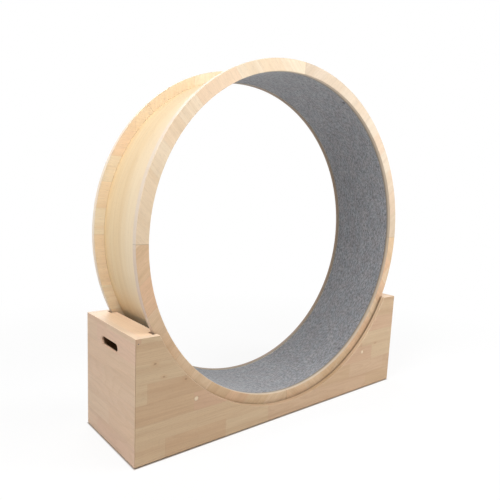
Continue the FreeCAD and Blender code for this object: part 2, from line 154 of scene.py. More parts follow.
def make_stave_group():
    """Board glued up from staves: each has its own tint, growth rings, fibres and flecks."""
    colours = [(label, "Color") for label in ("Pale", "Warm", "Rosy", "Deep")]
    numbers = [(label, "Float") for label in ("Stave Width", "Stave Length", "Seed", "Swirl", "Seam")]
    inputs = [("Grain", "Vector")] + numbers + colours
    group, given, result = new_group("glued staves", inputs, surface_results)
    along, across, through = split(group, given["Grain"])
    width = given["Stave Width"]
    length = given["Stave Length"]

    # rows of staves, and random butt joints along each row
    row_place = calc(group, "DIVIDE", across, width)
    row = calc(group, "FLOOR", row_place)
    from_middle = calc(group, "SUBTRACT", calc(group, "SUBTRACT", row_place, row), 0.5)
    edge_part = calc(group, "SUBTRACT", 0.5, calc(group, "ABSOLUTE", from_middle))
    row_edge = calc(group, "MULTIPLY", edge_part, width)
    row_start = calc(group, "MULTIPLY", calc(group, "ADD", row, given["Seed"]), stave_row_shift)
    length_place = calc(group, "ADD", calc(group, "DIVIDE", along, length), row_start)
    joints = {"W": length_place, "Scale": 1.0, "Randomness": 0.8}
    stave = put(group, "TexVoronoi", joints, voronoi_dimensions="1D")
    butt = put(group, "TexVoronoi", joints, voronoi_dimensions="1D", feature="DISTANCE_TO_EDGE")
    butt_edge = calc(group, "MULTIPLY", butt.outputs["Distance"], length)
    chance = put(group, "SeparateColor", {"Color": stave.outputs["Color"]}).outputs
    seam = fade(group, calc(group, "MINIMUM", row_edge, butt_edge), 0.0001, 0.0007, 1.0, 0.0)

    # growth rings about a pith that lies at random beside each stave
    pith_across = calc(group, "MULTIPLY", calc(group, "SUBTRACT", chance[1], 0.5), 0.15)
    pith_through = calc(group, "ADD", calc(group, "MULTIPLY", chance[2], 0.08), 0.015)
    off_across = calc(group, "SUBTRACT", calc(group, "MULTIPLY", from_middle, width), pith_across)
    off_through = calc(group, "ADD", through, pith_through)
    seeded = join(group, along, calc(group, "ADD", across, row_start), through)
    wander = cloud(group, stretch(group, seeded, (2.4, 9.0, 9.0)), 1.0)
    ripple = cloud(group, stretch(group, seeded, (14.0, 60.0, 60.0)), 2.0)
    distance = distance_of(group, off_across, off_through)
    distance = calc(group, "MULTIPLY_ADD", wander, 0.05, distance)
    distance = calc(group, "MULTIPLY_ADD", ripple, 0.004, distance)
    distance = calc(group, "ADD", distance, given["Swirl"])
    ring_gap = calc(group, "MULTIPLY_ADD", chance[0], 0.003, 0.0036)
    ring = calc(group, "FRACT", calc(group, "DIVIDE", distance, ring_gap))
    ring_end = fade(group, ring, 0.88, 1.0, 1.0, 0.0)
    late_wood = calc(group, "MULTIPLY", calc(group, "POWER", ring, 3.0), ring_end)

    # broad streaks, fine fibres and short dark flecks
    broad = cloud(group, stretch(group, seeded, (1.6, 30.0, 30.0)), 3.0)
    streak = cloud(group, stretch(group, seeded, (6.0, 150.0, 150.0)), 2.0)
    fibre = cloud(group, stretch(group, seeded, (45.0, 1100.0, 1100.0)), 1.0)
    fleck = fade(group, cloud(group, stretch(group, seeded, (95.0, 1300.0, 500.0)), 0.0), 0.66, 0.76)

    tint = blend(group, fade(group, chance[0], 0.1, 0.9), given["Pale"], given["Warm"])
    blush = calc(group, "MULTIPLY", fade(group, chance[2], 0.5, 1.0), 0.8)
    tint = blend(group, blush, tint, given["Rosy"])
    tint = blend(group, calc(group, "MULTIPLY", late_wood, 0.26), tint, given["Deep"])
    tint = blend(group, fade(group, broad, 0.42, 0.75, 0.0, 0.40), tint, given["Deep"])
    shade = calc(group, "MULTIPLY_ADD", streak, 0.20, 0.90)
    shade = calc(group, "MULTIPLY", shade, calc(group, "MULTIPLY_ADD", fibre, 0.10, 0.95))
    shade = calc(group, "MULTIPLY", shade, calc(group, "MULTIPLY_ADD", fleck, -0.14, 1.0))
    tint = shaded(group, tint, shade)
    tint = blend(group, calc(group, "MULTIPLY", seam, given["Seam"]), tint, stave_seam_tone)
    group.links.new(tint, result["Color"])

    gloss = calc(group, "MULTIPLY_ADD", late_wood, 0.07, 0.40)
    gloss = calc(group, "MULTIPLY_ADD", streak, 0.12, gloss)
    group.links.new(gloss, result["Roughness"])
    relief = calc(group, "MULTIPLY_ADD", late_wood, -0.2, calc(group, "MULTIPLY", fibre, 0.25))
    relief = calc(group, "MULTIPLY_ADD", fleck, -0.25, relief)
    relief = calc(group, "MULTIPLY_ADD", seam, -0.8, relief)
    group.links.new(relief, result["Height"])
    return group


def make_knot_group():
    """Small pin knot: a dark eye in a warm halo, and the swirl that the rings make round it."""
    inputs = [("Grain", "Vector"), ("Along", "Float"), ("Across", "Float"), ("Size", "Float"),
              ("Color", "Color"), ("Swirl", "Float")]
    group, given, result = new_group("pin knot", inputs, [("Color", "Color"), ("Swirl", "Float")])
    along, across = split(group, given["Grain"])[:2]
    off_along = calc(group, "MULTIPLY", calc(group, "SUBTRACT", along, given["Along"]), 0.6)
    off_across = calc(group, "SUBTRACT", across, given["Across"])
    reach = distance_of(group, off_along, off_across)
    uneven = cloud(group, stretch(group, given["Grain"], (300.0, 300.0, 300.0)), 2.0)
    sizes = calc(group, "DIVIDE", reach, given["Size"])
    sizes = calc(group, "ADD", sizes, calc(group, "MULTIPLY_ADD", uneven, 0.8, -0.4))
    eye = fade(group, sizes, 0.4, 1.3, 0.55, 0.0)
    halo = fade(group, sizes, 1.0, 4.5, 0.20, 0.0)
    tint = blend(group, halo, given["Color"], knot_halo_tone)
    tint = blend(group, eye, tint, knot_eye_tone)
    group.links.new(tint, result["Color"])
    bulge = fade(group, sizes, 0.0, 6.0, 0.014, 0.0)
    group.links.new(calc(group, "ADD", given["Swirl"], bulge), result["Swirl"])
    return group


def make_joint_and_shade_line_group():
    """Thin dark line given the distance to it: a dark joint where two boards meet, and painted shade
    where the drum meets a rim.
    """
    inputs = [("Color", "Color"), ("Distance", "Float"), ("Half Width", "Float"), ("Depth", "Float")]
    group, given, result = new_group("joint and shade line", inputs, [("Color", "Color"), ("Mask", "Float")])
    gap = calc(group, "DIVIDE", calc(group, "ABSOLUTE", given["Distance"]), given["Half Width"])
    mask = fade(group, gap, 0.4, 1.2, 1.0, 0.0)
    amount = calc(group, "MULTIPLY", mask, given["Depth"])
    group.links.new(blend(group, amount, given["Color"], joint_and_shade_tone), result["Color"])
    group.links.new(mask, result["Mask"])
    return group


stave_group = make_stave_group()
knot_group = make_knot_group()
joint_and_shade_line_group = make_joint_and_shade_line_group()


def new_material(name):
    """Material with a bare Principled shader: the material, its tree and that shader."""
    material = bpy.data.materials.new(name)
    material.use_nodes = True
    tree = material.node_tree
    tree.nodes.clear()
    shader = put(tree, "BsdfPrincipled")
    output = put(tree, "OutputMaterial")
    tree.links.new(shader.outputs["BSDF"], output.inputs["Surface"])
    return material, tree, shader


def finish_surface(tree, shader, colour, roughness, height, relief):
    """Send colour, roughness and relief (in metres) to the shader."""
    tree.links.new(colour, shader.inputs["Base Color"])
    tree.links.new(roughness, shader.inputs["Roughness"])
    bump = put(tree, "Bump", {"Height": height, "Distance": relief, "Strength": 1.0})
    tree.links.new(bump.outputs["Normal"], shader.inputs["Normal"])


lacquer_mirroring = 0.3


def new_wood(name):
    """Material for wood with matt lacquer, which mirrors little of the room."""
    material, tree, shader = new_material(name)
    shader.inputs["Specular IOR Level"].default_value = lacquer_mirroring
    return material, tree, shader


def grain_space(tree, order, middle=(0.0, 0.0, 0.0)):
    """Object coordinates as along, across and through the grain, counted from one point."""
    axes = dict(zip("xyz", split(tree, offset(tree, own_place(tree), middle))))
    return join(tree, *[axes[letter] for letter in order])


def staves(tree, grain, width, length, seed, tones, seam=0.12, swirl=0.0):
    """Stave board pattern in one material; seam says how dark its glue lines are."""
    inputs = {"Grain": grain, "Stave Width": width, "Stave Length": length, "Seed": seed,
              "Seam": seam, "Swirl": swirl}
    return put(tree, "Group", {**inputs, **tones}, node_tree=stave_group).outputs


def joint_and_shade_line(tree, colour, distance, half_width, depth):
    """The colour with a dark line over it: a dark joint, and painted shade where the drum meets a rim.
    """
    inputs = {"Color": colour, "Distance": distance, "Half Width": half_width, "Depth": depth}
    return put(tree, "Group", inputs, node_tree=joint_and_shade_line_group).outputs["Color"]


def dress(material, *names):
    """Give CAD nodes one material."""
    for name in names:
        mesh = nodes[name].data
        mesh.materials.clear()
        mesh.materials.append(material)


panel_tones = {"Pale": (0.505, 0.371, 0.235, 1.0), "Warm": (0.474, 0.324, 0.197, 1.0),
               "Rosy": (0.489, 0.314, 0.207, 1.0), "Deep": (0.355, 0.216, 0.119, 1.0)}
panel_stave_width = 0.0612
panel_stave_length = 0.24
stave_relief = 0.00025
base_low, base_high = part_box("front_panel")
base_end = base_high.x
base_front = base_low.y
mitre_offset = base_end + base_front      # |x| - |y| along the mitres
wheel_axle = Vector(frame["joints"][0]["pos_m"])
arc_radius = 0.593
panel_thickness = 0.018
# painted shade: a dark band along the cut arc's inner corner, beside the rim
arc_painted_shade_width = 0.003
arc_painted_shade_depth = 0.6
arc_painted_shade_tone = (0.10, 0.055, 0.025, 1.0)
# painted light: the cut arc is paler toward its steep ends
cut_edge_painted_light = (0.72, 0.55, 0.38, 1.0)
# painted light on the panels' upward top edges
painted_top_light_tone = (0.80, 0.63, 0.47, 1.0)
mitre_line = 0.0008      # half of the width over which a mitre shows as dark
mitre_depth = 0.6
# each knot's place along the base, its height and its size
front_knots = [(-0.548, 0.305, 0.0030), (-0.519, 0.260, 0.0024), (-0.445, 0.237, 0.0030),
               (0.494, 0.190, 0.0026)]
rear_knots = [(-0.330, 0.051, 0.0026), (0.515, 0.278, 0.0022)]


def mitre_distance(tree):
    """Distance across the mitre joints of the base's four corners."""
    x, y = split(tree, own_place(tree))[:2]
    over = calc(tree, "SUBTRACT", calc(tree, "ABSOLUTE", x), calc(tree, "ABSOLUTE", y))
    return calc(tree, "SUBTRACT", over, mitre_offset)


def arc_painted_light_and_shade(tree, colour):
    """The colour on the cut arc: painted light toward its steep ends, and a band of painted shade along
    its inner corner.
    """
    x, y, z = split(tree, offset(tree, own_place(tree), wheel_axle))
    radius = distance_of(tree, x, z)
    on_arc = fade(tree, radius, arc_radius + 0.0005, arc_radius + 0.0010, 1.0, 0.0)
    # painted light makes the cut face paler toward the arc's steep ends
    paler = fade(tree, calc(tree, "ABSOLUTE", x), 0.2, 0.45, 0.0, 0.7)
    colour = blend(tree, calc(tree, "MULTIPLY", on_arc, paler), colour, cut_edge_painted_light)
    # painted shade: a dark band along the cut face's inner corner
    inner_corner = -base_front - panel_thickness
    near_corner = fade(tree, calc(tree, "ABSOLUTE", y), inner_corner + arc_painted_shade_width / 2,
                       inner_corner + arc_painted_shade_width, 1.0, 0.0)
    amount = calc(tree, "MULTIPLY", calc(tree, "MULTIPLY", on_arc, near_corner), arc_painted_shade_depth)
    return blend(tree, amount, colour, arc_painted_shade_tone)


def painted_top_light(tree, colour):
    """The colour with painted light along the board's top edge, which makes its upward face paler."""
    height = split(tree, own_place(tree))[2]
    level = fade(tree, height, base_high.z - 0.0009, base_high.z - 0.0004, 0.0, 0.75)
    return blend(tree, level, colour, painted_top_light_tone)


def long_panel_material(name, face_y, seed, knots):
    """Staves lying along the base, with pin knots, dark mitres, and painted light and shade on the top
    and cut edges.
    """
    material, tree, shader = new_wood(name)
    grain = grain_space(tree, "xzy", (0.0, face_y, base_low.z))
    swirl = 0.0
    knot_nodes = []
    for along, height, size in knots:
        inputs = {"Grain": grain, "Along": along, "Across": height - base_low.z, "Size": size,
                  "Swirl": swirl}
        knot = put(tree, "Group", inputs, node_tree=knot_group)
        swirl = knot.outputs["Swirl"]
        knot_nodes.append(knot)
    wood = staves(tree, grain, panel_stave_width, panel_stave_length, seed, panel_tones, swirl=swirl)
    colour = wood["Color"]
    for knot in knot_nodes:
        tree.links.new(colour, knot.inputs["Color"])
        colour = knot.outputs["Color"]
    colour = joint_and_shade_line(tree, colour, mitre_distance(tree), mitre_line, mitre_depth)
    # painted light on the top edge and on the arc's steep ends, painted shade along the arc's inner
    # corner
    colour = painted_top_light(tree, arc_painted_light_and_shade(tree, colour))
    finish_surface(tree, shader, colour, wood["Roughness"], wood["Height"], stave_relief)
    return material


dress(long_panel_material("front panel staves", base_front, 3.0, front_knots), "front_panel")
dress(long_panel_material("rear panel staves", -base_front, 8.0, rear_knots), "rear_panel")


# ---- end panels ----------------------------------------------------------------------------
# The two short boards of the base, of the same glued staves laid level, mitred to the long ones.
# A hand slot is routed through each, with its outer edge eased and its inner edge bevelled.

end_tones = {"Pale": (0.598, 0.441, 0.307, 1.0), "Warm": (0.583, 0.408, 0.276, 1.0),
             "Rosy": (0.598, 0.403, 0.289, 1.0), "Deep": (0.473, 0.313, 0.202, 1.0)}
end_stave_length = 0.33


def end_panel_material(name, face_x, seed):
    """Staves lying level from front to rear."""
    material, tree, shader = new_wood(name)
    grain = grain_space(tree, "yzx", (0.0, face_x, base_low.z))
    wood = staves(tree, grain, panel_stave_width, end_stave_length, seed, end_tones, seam=0.06)
    # painted light on the top edge
    colour = painted_top_light(tree, wood["Color"])
    colour = joint_and_shade_line(tree, colour, mitre_distance(tree), mitre_line, mitre_depth)
    finish_surface(tree, shader, colour, wood["Roughness"], wood["Height"], stave_relief)
    return material


dress(end_panel_material("left end staves", -base_end, 21.0), "left_end_panel")
dress(end_panel_material("right end staves", base_end, 34.0), "right_end_panel")


# ---- top boards ----------------------------------------------------------------------------
# Two narrow boards let in flush between the panels, one at each end of the wheel. Their grain
# runs from front to rear, and their corners are notched so that the rims can pass.

top_tones = {"Pale": (0.81, 0.625, 0.455, 1.0), "Warm": (0.79, 0.585, 0.405, 1.0),
             "Rosy": (0.80, 0.575, 0.42, 1.0), "Deep": (0.67, 0.458, 0.295, 1.0)}
top_stave_width = 0.045


def top_board_material(name, seed):
    """Staves that run from front to rear, seen from above."""
    material, tree, shader = new_wood(name)
    grain = grain_space(tree, "yxz", (0.0, 0.0, base_high.z))
    wood = staves(tree, grain, top_stave_width, end_stave_length, seed, top_tones, seam=0.08)
    finish_surface(tree, shader, wood["Color"], wood["Roughness"], wood["Height"], stave_relief)
    return material


dress(top_board_material("left top staves", 41.0), "left_top_board")
dress(top_board_material("right top staves", 52.0), "right_top_board")


# ---- cleats, floor and dowels --------------------------------------------------------------
# Bare sawn softwood that nobody sees: square cleats glued and screwed into the box's corners, and
# a floor panel held on fluted beech dowels that stiffens the box between its long panels.

sawn_tones = {"Pale": (0.66, 0.50, 0.33, 1.0), "Warm": (0.61, 0.43, 0.26, 1.0),
              "Rosy": (0.60, 0.41, 0.26, 1.0), "Deep": (0.45, 0.28, 0.15, 1.0)}
soiled_tone = (0.36, 0.23, 0.12, 1.0)
sawn_relief = 0.0005


def sawn_material(name, order, width, length, seed):
    """Bare wood with marks of the saw across its grain."""
    material, tree, shader = new_material(name)
    grain = grain_space(tree, order)
    wood = staves(tree, grain, width, length, seed, sawn_tones, seam=0.35)
    saw_marks = cloud(tree, stretch(tree, grain, (420.0, 25.0, 25.0)), 1.0)
    soiled = fade(tree, saw_marks, 0.45, 0.7, 0.0, 0.18)
    colour = blend(tree, soiled, wood["Color"], soiled_tone)
    rough = calc(tree, "ADD", wood["Roughness"], 0.25)
    height = calc(tree, "ADD", wood["Height"], saw_marks)
    finish_surface(tree, shader, colour, rough, height, sawn_relief)
    return material


corners = [side + "_" + end for side in ("front", "rear") for end in ("left", "right")]
upright_cleats = ["corner_cleat_" + corner for corner in corners]
dress(sawn_material("sawn upright cleats", "zxy", 0.06, 0.9, 5.0), *upright_cleats)
dress(sawn_material("sawn top cleats", "yxz", 0.06, 0.9, 6.0), "left_top_cleat", "right_top_cleat")
dress(sawn_material("sawn floor boards", "xyz", 0.07, 0.45, 7.0), "floor_panel")
dress(sawn_material("beech dowels", "yxz", 0.03, 0.5, 9.0), "floor_dowels")


# ---- screws, pins, bolts, nuts and washers ---------------------------------------------------
# Bright zinc-plated steel: countersunk screws in the cleats, panel pins through the mitres, and an
# axle bolt for each roller with its lock nut, washer, sleeve and spacer.

plating_shadow = (0.40, 0.41, 0.43, 1.0)
metal_scuff = (0.24, 0.23, 0.22, 1.0)


def make_turned_metal_group():
    """Turned or ground metal: fine rings about an axle, with scuffs and a cloudy plating."""
    inputs = [("Place", "Vector"), ("Axle X", "Float"), ("Axle Z", "Float"), ("Tint", "Color"),
              ("Polish", "Float")]
    group, given, result = new_group("turned metal", inputs, surface_results)
    x, y, z = split(group, given["Place"])
    off_x = calc(group, "SUBTRACT", calc(group, "ABSOLUTE", x), given["Axle X"])
    off_z = calc(group, "SUBTRACT", z, given["Axle Z"])
    turned_place = calc(group, "ADD", distance_of(group, off_x, off_z), y)
    cuts = {"W": calc(group, "MULTIPLY", turned_place, 5200.0), "Scale": 1.0, "Detail": 2.0}
    rings = put(group, "TexNoise", cuts, noise_dimensions="1D").outputs["Fac"]
    cloudy = cloud(group, stretch(group, given["Place"], (160.0, 160.0, 160.0)), 3.0)
    scratches = cloud(group, stretch(group, given["Place"], (700.0, 90.0, 500.0)), 4.0, 0.7)
    scuff = fade(group, scratches, 0.56, 0.70)
    tint = blend(group, fade(group, cloudy, 0.3, 0.7, 0.0, 0.5), given["Tint"], plating_shadow)
    tint = blend(group, calc(group, "MULTIPLY", scuff, 0.35), tint, metal_scuff)
    group.links.new(tint, result["Color"])
    rough = calc(group, "MULTIPLY_ADD", rings, 0.12, given["Polish"])
    rough = calc(group, "MULTIPLY_ADD", scuff, 0.18, rough)
    group.links.new(rough, result["Roughness"])
    group.links.new(calc(group, "MULTIPLY_ADD", scuff, -0.4, rings), result["Height"])
    return group


turned_metal_group = make_turned_metal_group()
axle_low, axle_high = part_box("roller_tyre_front_right")
axle_x = (axle_low.x + axle_high.x) / 2
axle_z = (axle_low.z + axle_high.z) / 2
turning_relief = 0.00003


def metal_material(name, tint, polish):
    """Steel turned about the roller axles; polish is its lowest roughness."""
    material, tree, shader = new_material(name)
    shader.inputs["Metallic"].default_value = 1.0
    inputs = {"Place": own_place(tree), "Axle X": axle_x, "Axle Z": axle_z, "Tint": tint,
              "Polish": polish}
    metal = put(tree, "Group", inputs, node_tree=turned_metal_group).outputs
    finish_surface(tree, shader, metal["Color"], metal["Roughness"], metal["Height"], turning_relief)
    return material


zinc = metal_material("bright zinc plate", (0.66, 0.67, 0.70, 1.0), 0.24)
dress(zinc, "cleat_screws", "axle_bolts", "axle_nuts", "nut_washers", "panel_spacers", "bearing_sleeves")
dress(metal_material("dark pin steel", (0.10, 0.095, 0.09, 1.0), 0.42), "corner_pins")


# ---- glide feet ----------------------------------------------------------------------------
# Six round glides of hard black rubber under the floor panel. They lift the box four millimetres
# off the floor, which leaves the thin shadow line along its foot; a shadow painted on the floor deepens
# it.

def make_moulded_group():
    """Moulded or cast plastic: faint mottling, a fine skin and rubbed, paler scuffs."""
    inputs = [("Place", "Vector"), ("Tint", "Color"), ("Rubbed", "Color"), ("Sheen", "Float")]
    group, given, result = new_group("moulded skin", inputs, surface_results)
    mottle = cloud(group, stretch(group, given["Place"], (55.0, 55.0, 55.0)), 3.0)
    skin = cloud(group, stretch(group, given["Place"], (2400.0, 2400.0, 2400.0)), 1.0)
    rubs = cloud(group, stretch(group, given["Place"], (260.0, 60.0, 260.0)), 4.0, 0.65)
    scuff = fade(group, rubs, 0.55, 0.72)
    tint = blend(group, calc(group, "MULTIPLY", scuff, 0.5), given["Tint"], given["Rubbed"])
    tint = shaded(group, tint, calc(group, "MULTIPLY_ADD", mottle, 0.24, 0.88))
    group.links.new(tint, result["Color"])
    rough = calc(group, "MULTIPLY_ADD", scuff, 0.15, given["Sheen"])
    group.links.new(calc(group, "MULTIPLY_ADD", skin, 0.10, rough), result["Roughness"])
    group.links.new(calc(group, "MULTIPLY_ADD", scuff, -0.3, skin), result["Height"])
    return group


moulded_group = make_moulded_group()
skin_relief = 0.00004


def moulded_material(name, tint, rubbed, sheen):
    """Moulded plastic or cast rubber, paler where it is rubbed; sheen is its lowest roughness."""
    material, tree, shader = new_material(name)
    inputs = {"Place": own_place(tree), "Tint": tint, "Rubbed": rubbed, "Sheen": sheen}
    skin = put(tree, "Group", inputs, node_tree=moulded_group).outputs
    finish_surface(tree, shader, skin["Color"], skin["Roughness"], skin["Height"], skin_relief)
    return material


glide_rubber = moulded_material("black glide rubber", (0.018, 0.018, 0.019, 1.0),
                                (0.07, 0.07, 0.07, 1.0), 0.62)
dress(glide_rubber, "glide_feet")


# ---- roller bearings -----------------------------------------------------------------------
# Two small ball bearings in each roller: ground and polished steel rings with seven balls between
# them. The inner rings stand still on the bolt, and the outer rings turn with the roller.

bearing_steel = metal_material("ground bearing steel", (0.60, 0.61, 0.62, 1.0), 0.14)
dress(bearing_steel, "bearing_inner_rings", *["bearing_outer_rings_" + corner for corner in corners])
ball_steel = metal_material("polished ball steel", (0.72, 0.73, 0.74, 1.0), 0.05)
dress(ball_steel, *["bearing_balls_" + corner for corner in corners])


# ---- rollers -------------------------------------------------------------------------------
# Each roller is a cast urethane tyre on a white moulded hub. The disc beside it is moulded too,
# and runs along the inner face of the rim, so that the wheel can't creep sideways.

tyre_urethane = moulded_material("cast tyre urethane", (0.035, 0.036, 0.038, 1.0),
                                 (0.12, 0.115, 0.11, 1.0), 0.45)
hub_nylon = moulded_material("white moulded nylon", (0.74, 0.73, 0.69, 1.0),
                             (0.60, 0.58, 0.54, 1.0), 0.34)
dress(tyre_urethane, *["roller_tyre_" + corner for corner in corners])
dress(hub_nylon, *[part + corner for part in ("roller_hub_", "guide_disc_") for corner in corners])


# ---- axle caps -----------------------------------------------------------------------------
# Four little turned buttons of pale maple, pressed into the panels over the heads of the axle bolts.
# The lathe leaves faint rings on their low domes, and painted shade darkens the joint round them.

cap_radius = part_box("axle_caps")[1].x - axle_x
pale_maple = (0.68, 0.55, 0.39, 1.0)
warm_maple = (0.58, 0.44, 0.29, 1.0)
cap_foot_painted_shade = (0.20, 0.13, 0.07, 1.0)
lathe_rings = 7000.0     # radians of ring per metre of radius
cap_relief = 0.0001


def cap_material():
    """Maple with the lathe's rings about each cap's middle, and painted shade on its foot."""
    material, tree, shader = new_material("turned maple")
    place = own_place(tree)
    x, _, z = split(tree, place)
    off_x = calc(tree, "SUBTRACT", calc(tree, "ABSOLUTE", x), axle_x)
    off_z = calc(tree, "SUBTRACT", z, axle_z)
    radius = distance_of(tree, off_x, off_z)
    turning = calc(tree, "SINE", calc(tree, "MULTIPLY", radius, lathe_rings))
    fibres = cloud(tree, stretch(tree, place, (60.0, 700.0, 900.0)), 3.0)
    colour = blend(tree, fade(tree, fibres, 0.3, 0.7), pale_maple, warm_maple)
    # painted shade round the cap's foot
    foot = fade(tree, radius, cap_radius - 0.0012, cap_radius - 0.0002, 0.0, 0.7)
    colour = blend(tree, foot, colour, cap_foot_painted_shade)
    rough = calc(tree, "MULTIPLY_ADD", fibres, 0.15, 0.36)
    height = calc(tree, "ADD", fibres, calc(tree, "MULTIPLY", turning, 0.3))
    finish_surface(tree, shader, colour, rough, height, cap_relief)
    return material


dress(cap_material(), "axle_caps")


# ---- rims ----------------------------------------------------------------------------------
# Two wooden rims, each of four quarter arcs cut from a stave board whose grain runs outward at
# the middle of the arc, butted on hidden splines. The rear rim's joints lie between the front's.

# copies of one wood, toned for where each arc sits in the light: painted light on the upper front arcs
# and the rear rim, painted shade on the lower front arcs and the upper right arc
lower_rim_shaded_tones = {"Pale": (0.597, 0.444, 0.296, 1.0), "Warm": (0.536, 0.377, 0.23, 1.0),
                   "Rosy": (0.581, 0.367, 0.23, 1.0), "Deep": (0.413, 0.265, 0.148, 1.0)}
upper_rim_lit_tones = {"Pale": (0.77, 0.638, 0.472, 1.0), "Warm": (0.75, 0.585, 0.407, 1.0),
                   "Rosy": (0.77, 0.56, 0.382, 1.0), "Deep": (0.63, 0.46, 0.288, 1.0)}
right_rim_shaded_tones = {"Pale": (0.63, 0.525, 0.40, 1.0), "Warm": (0.61, 0.48, 0.345, 1.0),
                   "Rosy": (0.63, 0.46, 0.32, 1.0), "Deep": (0.51, 0.375, 0.245, 1.0)}
rear_rim_lit_tones = {"Pale": (0.88, 0.76, 0.56, 1.0), "Warm": (0.88, 0.70, 0.48, 1.0),
                  "Rosy": (0.89, 0.67, 0.47, 1.0), "Deep": (0.78, 0.58, 0.37, 1.0)}
front_inner_edge = (0.60, 0.49, 0.37, 1.0)
# painted shade: the rear rim's inner edge is toned dark brown
rear_inner_edge_painted_shade = (0.25, 0.165, 0.115, 1.0)
sanded_edge = (0.58, 0.52, 0.48, 1.0)
# painted shade in the corner where the rims' inner edges meet the mat
mat_corner_painted_shade = (0.11, 0.10, 0.09, 1.0)
rim_stave_width = 0.083
rim_stave_length = 0.6
rim_seam_depth = 0.16
rim_joint_line = 0.0007  # half of the width over which a joint shows as dark
rim_joint_depth = 0.55
rim_relief = 0.0001
rim_width = 0.040
sanded_edge_width = 0.0011
rim_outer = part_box("rim_front_upper_right")[1].z - wheel_axle.z
rim_inner = rim_outer - rim_width
mat_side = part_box("running_mat")[1].y
mat_shadow_reach = 0.012
eased_edge = 0.0006
# painted shade on the upper front arcs and painted light on the lower ones, strongest at the axle's
# height
side_shade_reach = 0.3   # the arcs' tones draw together this far above and below the axle
upper_side_shade = 0.9
lower_side_shade = 1.12
first_rim_seed = 160.0
rim_seed_step = 3.0
# clockwise turn from the top to each arc's middle, in degrees
quarter_middles = {"front_upper_right": 45, "front_lower_right": 135, "front_lower_left": 225,
                   "front_upper_left": 315, "rear_right": 90, "rear_bottom": 180, "rear_left": 270,
                   "rear_top": 0}


def from_wheel_axle(tree, turn):
    """Place in the wheel, counted from its axle and turned back by some degrees."""
    inputs = {"Vector": own_place(tree), "Center": wheel_axle, "Axis": (0.0, 1.0, 0.0),
              "Angle": math.radians(-turn)}
    turned = put(tree, "VectorRotate", inputs, rotation_type="AXIS_ANGLE").outputs["Vector"]
    return offset(tree, turned, wheel_axle)


def rim_material(name, middle_turn, seed, tones, inner_edge, side_shade):
    """Stave wood turned with its arc, with painted shade and light at axle height, toned edges, painted
    shade on its inner edge beside the mat, and glued ends.
    """
    material, tree, shader = new_wood(name)
    sideways, deep, outward = split(tree, from_wheel_axle(tree, middle_turn))
    grain = join(tree, outward, sideways, deep)
    wood = staves(tree, grain, rim_stave_width, rim_stave_length, seed, tones, seam=rim_seam_depth)
    height = split(tree, from_wheel_axle(tree, 0.0))[2]
    # painted shade and light, strongest at the axle's height
    shade = fade(tree, calc(tree, "ABSOLUTE", height), 0.0, side_shade_reach, side_shade, 1.0)
    colour = shaded(tree, wood["Color"], shade)
    radius = distance_of(tree, sideways, outward)
    inside = fade(tree, radius, rim_inner, rim_inner + eased_edge, 0.85, 0.0)
    outside = fade(tree, radius, rim_outer - sanded_edge_width, rim_outer - eased_edge, 0.0, 0.5)
    off_middle = calc(tree, "ABSOLUTE", deep)
    # painted shade on the inner edge, darkest next to the mat
    beside_mat = fade(tree, off_middle, mat_side, mat_side + mat_shadow_reach, 0.9, 0.0)
    colour = blend(tree, inside, colour, blend(tree, beside_mat, inner_edge, mat_corner_painted_shade))
    colour = blend(tree, outside, colour, sanded_edge)
    joint = calc(tree, "SUBTRACT", outward, calc(tree, "ABSOLUTE", sideways))
    joint = calc(tree, "MULTIPLY", joint, math.sqrt(0.5))
    colour = joint_and_shade_line(tree, colour, joint, rim_joint_line, rim_joint_depth)
    finish_surface(tree, shader, colour, wood["Roughness"], wood["Height"], rim_relief)
    return material


for number, (arc, middle_turn) in enumerate(quarter_middles.items()):
    # each arc takes the lit or shaded copy of the tones for where it sits
    if arc.startswith("rear"):
        tones, inner_edge, side_shade = rear_rim_lit_tones, rear_inner_edge_painted_shade, 1.0
    elif "lower" in arc:
        tones, inner_edge, side_shade = lower_rim_shaded_tones, front_inner_edge, lower_side_shade
    else:
        tones, inner_edge, side_shade = upper_rim_lit_tones, front_inner_edge, upper_side_shade
    if arc == "front_upper_right":
        tones = right_rim_shaded_tones
    name = "rim staves " + arc.replace("_", " ")
    seed = first_rim_seed + rim_seed_step * number
    dress(rim_material(name, middle_turn, seed, tones, inner_edge, side_shade), "rim_" + arc)
dress(sawn_material("beech splines", "xzy", 0.03, 0.5, 11.0), "rim_splines")


# ---- drum ----------------------------------------------------------------------------------
# Two half shells of thin birch plywood, bent round and let into grooves in the rims, with a ply
# strap glued over each seam. The face veneer's long figure runs round the drum.

